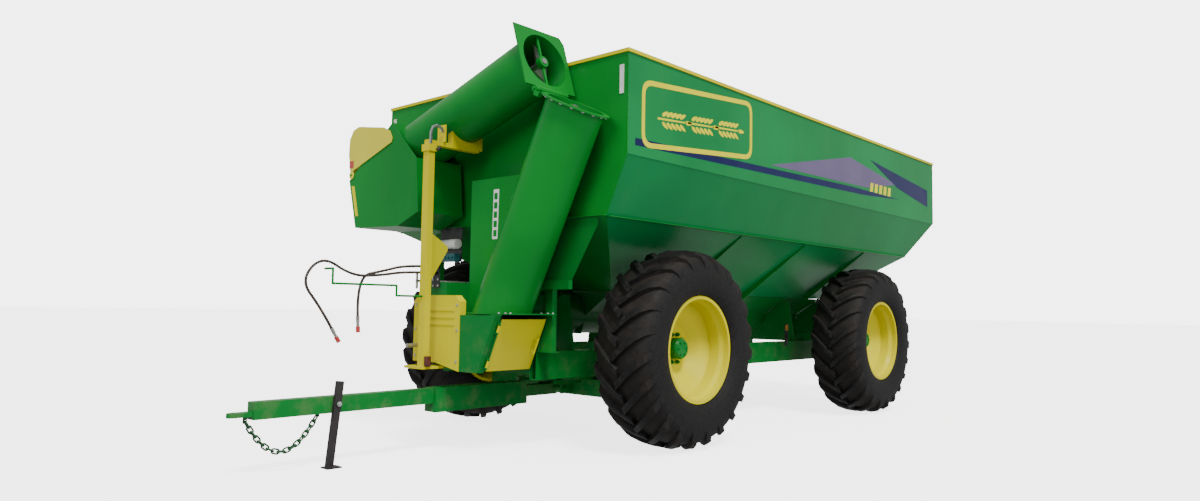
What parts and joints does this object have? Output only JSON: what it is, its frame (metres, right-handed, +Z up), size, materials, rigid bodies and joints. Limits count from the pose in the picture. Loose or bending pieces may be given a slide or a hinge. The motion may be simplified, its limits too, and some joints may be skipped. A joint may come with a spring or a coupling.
{
  "type": "grain cart",
  "caption": "Four-wheel tractor-drawn grain cart with a tapered hopper, a steerable front dolly and a corner unloading auger that folds across the front.",
  "frame": {"origin": "on the ground under the centre of the whole machine", "axes": "-Y towards the hitch, +X the cart's left side where the auger stands, +Z up"},
  "size_m": [3.34, 8.9419, 3.5032],
  "materials": {
    "green_paint": "gloss enamel",
    "yellow_paint": "gloss enamel",
    "tyre_rubber": "matt",
    "chain_steel": "oiled",
    "auger_steel": "worn",
    "gearbox_iron": "painted casting",
    "gate_steel": "satin",
    "dark_steel": "satin",
    "chrome_rod": "polished",
    "hose_rubber": "matt",
    "red_lens": "gloss"
  },
  "bodies": {
    "chassis": {"auger_post": "yellow_paint", "boot": "green_paint", "chassis_rails": "green_paint", "cross_members": "green_paint", "drive_chain": "chain_steel", "drive_guard": "yellow_paint", "front_portal": "green_paint", "gate_seat": "green_paint", "gearbox": "gearbox_iron", "hopper_front": "green_paint", "hopper_rear": "green_paint", "hose_bulkhead": "dark_steel", "hose_couplers": "dark_steel", "hose_holder": "green_paint", "hose_long": "hose_rubber", "hose_short": "hose_rubber", "hydraulic_block": "dark_steel", "inner_braces": "green_paint", "lower_flange": "green_paint", "lower_tube": "green_paint", "rear_axle": "green_paint", "rear_lamps": "red_lens", "rim_rail": "yellow_paint", "saddles": "green_paint", "side_lower": "green_paint", "side_middle": "green_paint", "side_ribs": "green_paint", "side_upper": "green_paint", "trough": "green_paint", "tube_web": "green_paint"},
    "front_dolly": {"front_axle": "green_paint"},
    "drawbar": {"drawbar": "green_paint", "safety_chain": "chain_steel"},
    "stand_leg": {"stand_leg": "dark_steel"},
    "folding_tube": {"upper_tube": "green_paint", "upper_flange": "green_paint", "head_shell": "green_paint"},
    "deflector": {"deflector": "yellow_paint", "head_reflector": "red_lens"},
    "upper_auger": {"upper_auger": "auger_steel"},
    "lower_auger": {"lower_auger": "auger_steel"},
    "floor_auger": {"floor_auger": "auger_steel"},
    "input_shaft": {"input_shaft": "auger_steel"},
    "gear_shaft": {"gear_shaft": "auger_steel"},
    "flow_gate": {"flow_gate": "gate_steel"},
    "clean_door": {"clean_door": "yellow_paint"},
    "fold_barrel": {"fold_barrel": "dark_steel"},
    "fold_rod": {"fold_rod": "chrome_rod"},
    "wheel_front_left": {"tyre_front_left": "tyre_rubber", "rim_front_left": "yellow_paint", "hub_front_left": "green_paint"},
    "wheel_front_right": {"tyre_front_right": "tyre_rubber", "rim_front_right": "yellow_paint", "hub_front_right": "green_paint"},
    "wheel_rear_left": {"tyre_rear_left": "tyre_rubber", "rim_rear_left": "yellow_paint", "hub_rear_left": "green_paint"},
    "wheel_rear_right": {"tyre_rear_right": "tyre_rubber", "rim_rear_right": "yellow_paint", "hub_rear_right": "green_paint"}
  },
  "joints": [
    {"name": "dolly_steer", "type": "hinge", "parent": "chassis", "child": "front_dolly", "pos_m": [0, -1.101, 0.567], "axis": [0, 0, 1], "range_deg": [-14, 14]},
    {"name": "drawbar_lift", "type": "hinge", "parent": "front_dolly", "child": "drawbar", "pos_m": [0, -1.296, 0.44], "axis": [-1, 0, 0], "range_deg": [0, 5]},
    {"name": "leg_fold", "type": "hinge", "parent": "drawbar", "child": "stand_leg", "pos_m": [0.069, -3.666, 0.47], "axis": [1, 0, 0], "range_deg": [0, 84]},
    {"name": "tube_fold", "type": "hinge", "parent": "chassis", "child": "folding_tube", "pos_m": [1.09, -2.446, 2.95], "axis": [0, 1, 0], "range_deg": [0, 134]},
    {"name": "upper_auger_spin", "type": "hinge", "parent": "folding_tube", "child": "upper_auger", "pos_m": [0.99979, -2.446, 3.23611], "axis": [-0.9537, 0, -0.3007], "continuous": true},
    {"name": "deflector_tilt", "type": "hinge", "parent": "folding_tube", "child": "deflector", "pos_m": [-1.44, -2.446, 2.49], "axis": [0, -1, 0], "range_deg": [0, 35]},
    {"name": "floor_auger_spin", "type": "hinge", "parent": "chassis", "child": "floor_auger", "pos_m": [0, 0, 1.175], "axis": [0, 1, 0], "continuous": true},
    {"name": "lower_auger_spin", "type": "hinge", "parent": "chassis", "child": "lower_auger", "pos_m": [1.35848, -2.446, 2.81614], "axis": [0.4462, 0, 0.8949], "continuous": true},
    {"name": "input_spin", "type": "hinge", "parent": "chassis", "child": "input_shaft", "pos_m": [-0.17, -2.658, 0.88], "axis": [0, 1, 0], "continuous": true},
    {"name": "gear_shaft_spin", "type": "hinge", "parent": "chassis", "child": "gear_shaft", "pos_m": [0.34081, -2.658, 0.775], "axis": [0, 1, 0], "continuous": true},
    {"name": "gate_slide", "type": "slide", "parent": "chassis", "child": "flow_gate", "axis": [0, 1, 0], "range_m": [0, 0.44]},
    {"name": "door_swing", "type": "hinge", "parent": "chassis", "child": "clean_door", "pos_m": [0.59239, -2.658, 0.69234], "axis": [-0.4031, 0, -0.9152], "range_deg": [0, 115]},
    {"name": "barrel_swing", "type": "hinge", "parent": "chassis", "child": "fold_barrel", "pos_m": [0.71955, -2.221, 2.29665], "axis": [0, 1, 0], "range_deg": [0, 0.8447]},
    {"name": "rod_extend", "type": "slide", "parent": "fold_barrel", "child": "fold_rod", "axis": [0.4257, 0, 0.9049], "range_m": [0, 0.23883]},
    {"name": "spin_front_left", "type": "hinge", "parent": "front_dolly", "child": "wheel_front_left", "pos_m": [1.37, -1.101, 0.875], "axis": [1, 0, 0], "continuous": true},
    {"name": "spin_front_right", "type": "hinge", "parent": "front_dolly", "child": "wheel_front_right", "pos_m": [-1.37, -1.101, 0.875], "axis": [1, 0, 0], "continuous": true},
    {"name": "spin_rear_left", "type": "hinge", "parent": "chassis", "child": "wheel_rear_left", "pos_m": [1.37, 2.729, 0.875], "axis": [1, 0, 0], "continuous": true},
    {"name": "spin_rear_right", "type": "hinge", "parent": "chassis", "child": "wheel_rear_right", "pos_m": [-1.37, 2.729, 0.875], "axis": [1, 0, 0], "continuous": true}
  ],
  "couplings": [
    {"joint": "lower_auger_spin", "follows": "floor_auger_spin", "ratio": 1.5714},
    {"joint": "input_spin", "follows": "floor_auger_spin", "ratio": 1.5714},
    {"joint": "gear_shaft_spin", "follows": "floor_auger_spin", "ratio": 1.5714},
    {"joint": "barrel_swing", "follows": "tube_fold", "ratio": 0.0062963},
    {"joint": "rod_extend", "follows": "tube_fold", "m_per_rad": 0.10207}
  ]
}
